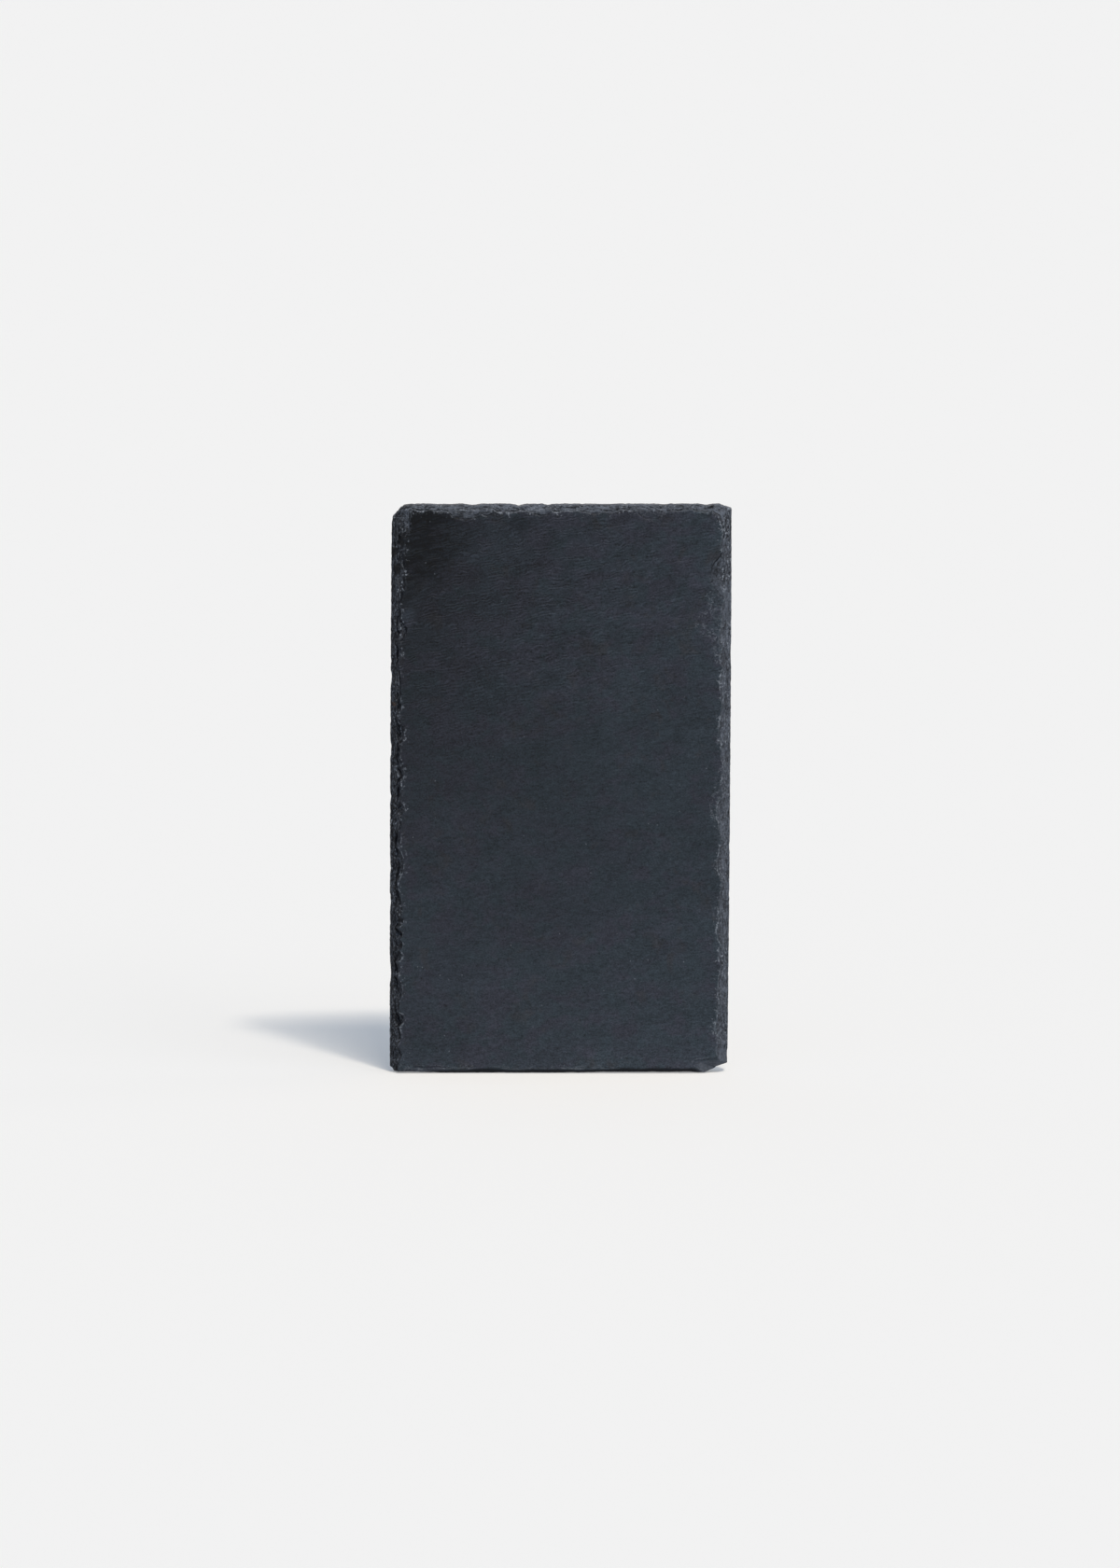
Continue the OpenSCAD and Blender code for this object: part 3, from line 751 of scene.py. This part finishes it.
# Lengths in metres, the sensor in millimetres, angles in degrees. Keys: the angle to the right of the
# front, the elevation and the strength of each.
stage = dict(
    floorSize=120.0, floorColour=(0.68, 0.68, 0.68), floorVaries=1.004, glow=0.272,
    backdrop=(0.890, 0.890, 0.890),
    keys=((36, 62.4, 0.36), (32, 60.2, 0.46), (28.5, 59, 0.42), (22, 58.8, 0.26), (15.5, 59.4, 0.19),
          (8.5, 59.8, 0.16)),
    keySpread=3.6, keyColour=(1.27, 1.14, 0.96),
    sideAim=(70, 30), sideStrength=0.9, sideSpread=70, sideColour=(1.0, 1.0, 1.0),
    backAim=(188, 25), backStrength=0.85, backSpread=50, backColour=(1.20, 1.05, 0.92),
    sky=(0.50, 0.805, 1.225), skyStrength=0.22,
    distance=3.0, elevation=9.0, aim=(0.0001, 0, 0.1120), frameHeight=0.6006, sensor=36.0,
    farthest=200,
)


# 1 for what the camera sees straight on, or in gloss or through glass, else 0
def seenDirectly(tree):
    path = tree.nodes.new("ShaderNodeLightPath")
    kinds = ("Is Camera Ray", "Is Glossy Ray", "Is Transmission Ray")
    return sum(Wire(tree, path.outputs[kind]) for kind in kinds).ramp(0, 1)


# A flat square floor: corners at plus and minus half its size. It glows a little where it is seen.
def buildFloor():
    half = stage["floorSize"] / 2
    points = np.array([[-half, -half, 0], [half, -half, 0], [half, half, 0], [-half, half, 0]])
    floor = meshPiece("floor", points, np.array([[0, 1, 2, 3]]), np.zeros((0, 3), int), {})
    finish, at, feed = newFinish("floor", Roughness=1.0, Specular_IOR_Level=0.0, Emission_Strength=1.0)
    faint = at.grain((400, 400, 400), 2)
    brighter = [c * stage["floorVaries"] for c in stage["floorColour"]]
    feed("Base Color", faint.blend(stage["floorColour"], brighter))
    feed("Emission Color", seenDirectly(finish.node_tree) * stage["glow"])
    floor.data.materials.append(finish)


# A sun whose light comes from an angle to the right of the front and an elevation
def addSun(name, aim, strength, spread, colour):
    side, rise = (math.radians(a) for a in aim)
    light = bpy.data.lights.new(name, "SUN")
    light.energy, light.angle, light.color = strength, math.radians(spread), colour
    lamp = bpy.data.objects.new(name, light)
    source = Vector((math.cos(rise) * math.sin(side), -math.cos(rise) * math.cos(side), math.sin(rise)))
    lamp.rotation_euler = source.to_track_quat("Z", "Y").to_euler()
    lamp.location = source * 2    # for show: only a sun's direction counts
    scene.collection.objects.link(lamp)
    return lamp


# Pale sky light; what the camera and reflections see of it is the backdrop's own colour
def buildSky():
    world = bpy.data.worlds.new("studio")
    world.use_nodes = True
    scene.world = world
    seen = seenDirectly(world.node_tree)
    sky = {"Color": (*stage["sky"], 1), "Strength": stage["skyStrength"]}
    light = seen.node("ShaderNodeBackground", None, sky)
    shown = seen.node("ShaderNodeBackground", None, {"Color": (*stage["backdrop"], 1), "Strength": 1})
    mixed = seen.node("ShaderNodeMixShader", None, {0: seen, 1: light, 2: shown})
    world.node_tree.links.new(mixed.socket, world.node_tree.nodes["World Output"].inputs["Surface"])


# The camera looks down at the aim point from the elevation, square to the board
def buildCamera():
    lens = bpy.data.cameras.new("camera")
    lens.sensor_fit, lens.sensor_height = "VERTICAL", stage["sensor"]
    lens.lens = stage["sensor"] * stage["distance"] / stage["frameHeight"]
    lens.clip_end = stage["farthest"]
    rise = math.radians(stage["elevation"])
    camera = bpy.data.objects.new("camera", lens)
    back = Vector((0, -math.cos(rise), math.sin(rise)))
    camera.location = Vector(stage["aim"]) + back * stage["distance"]
    camera.rotation_euler = back.to_track_quat("Z", "Y").to_euler()
    scene.collection.objects.link(camera)
    scene.camera = camera


buildFloor()
for side, rise, strength in stage["keys"]:    # a wide softbox, brighter at one end, as suns side by side
    addSun("key", (side, rise), strength, stage["keySpread"], stage["keyColour"])
addSun("side", stage["sideAim"], stage["sideStrength"], stage["sideSpread"], stage["sideColour"])
fill = addSun("back", stage["backAim"], stage["backStrength"], stage["backSpread"], stage["backColour"])
lit = bpy.data.collections.new("lit by the fill")    # the board alone, so the floor has no second shadow
for piece in bpy.data.objects:
    if piece.type == "MESH" and piece.name != "floor":
        lit.objects.link(piece)
fill.light_linking.receiver_collection = lit
buildSky()
buildCamera()
scene.view_settings.view_transform = "Standard"
print("stage set")

bpy.context.view_layer.update()
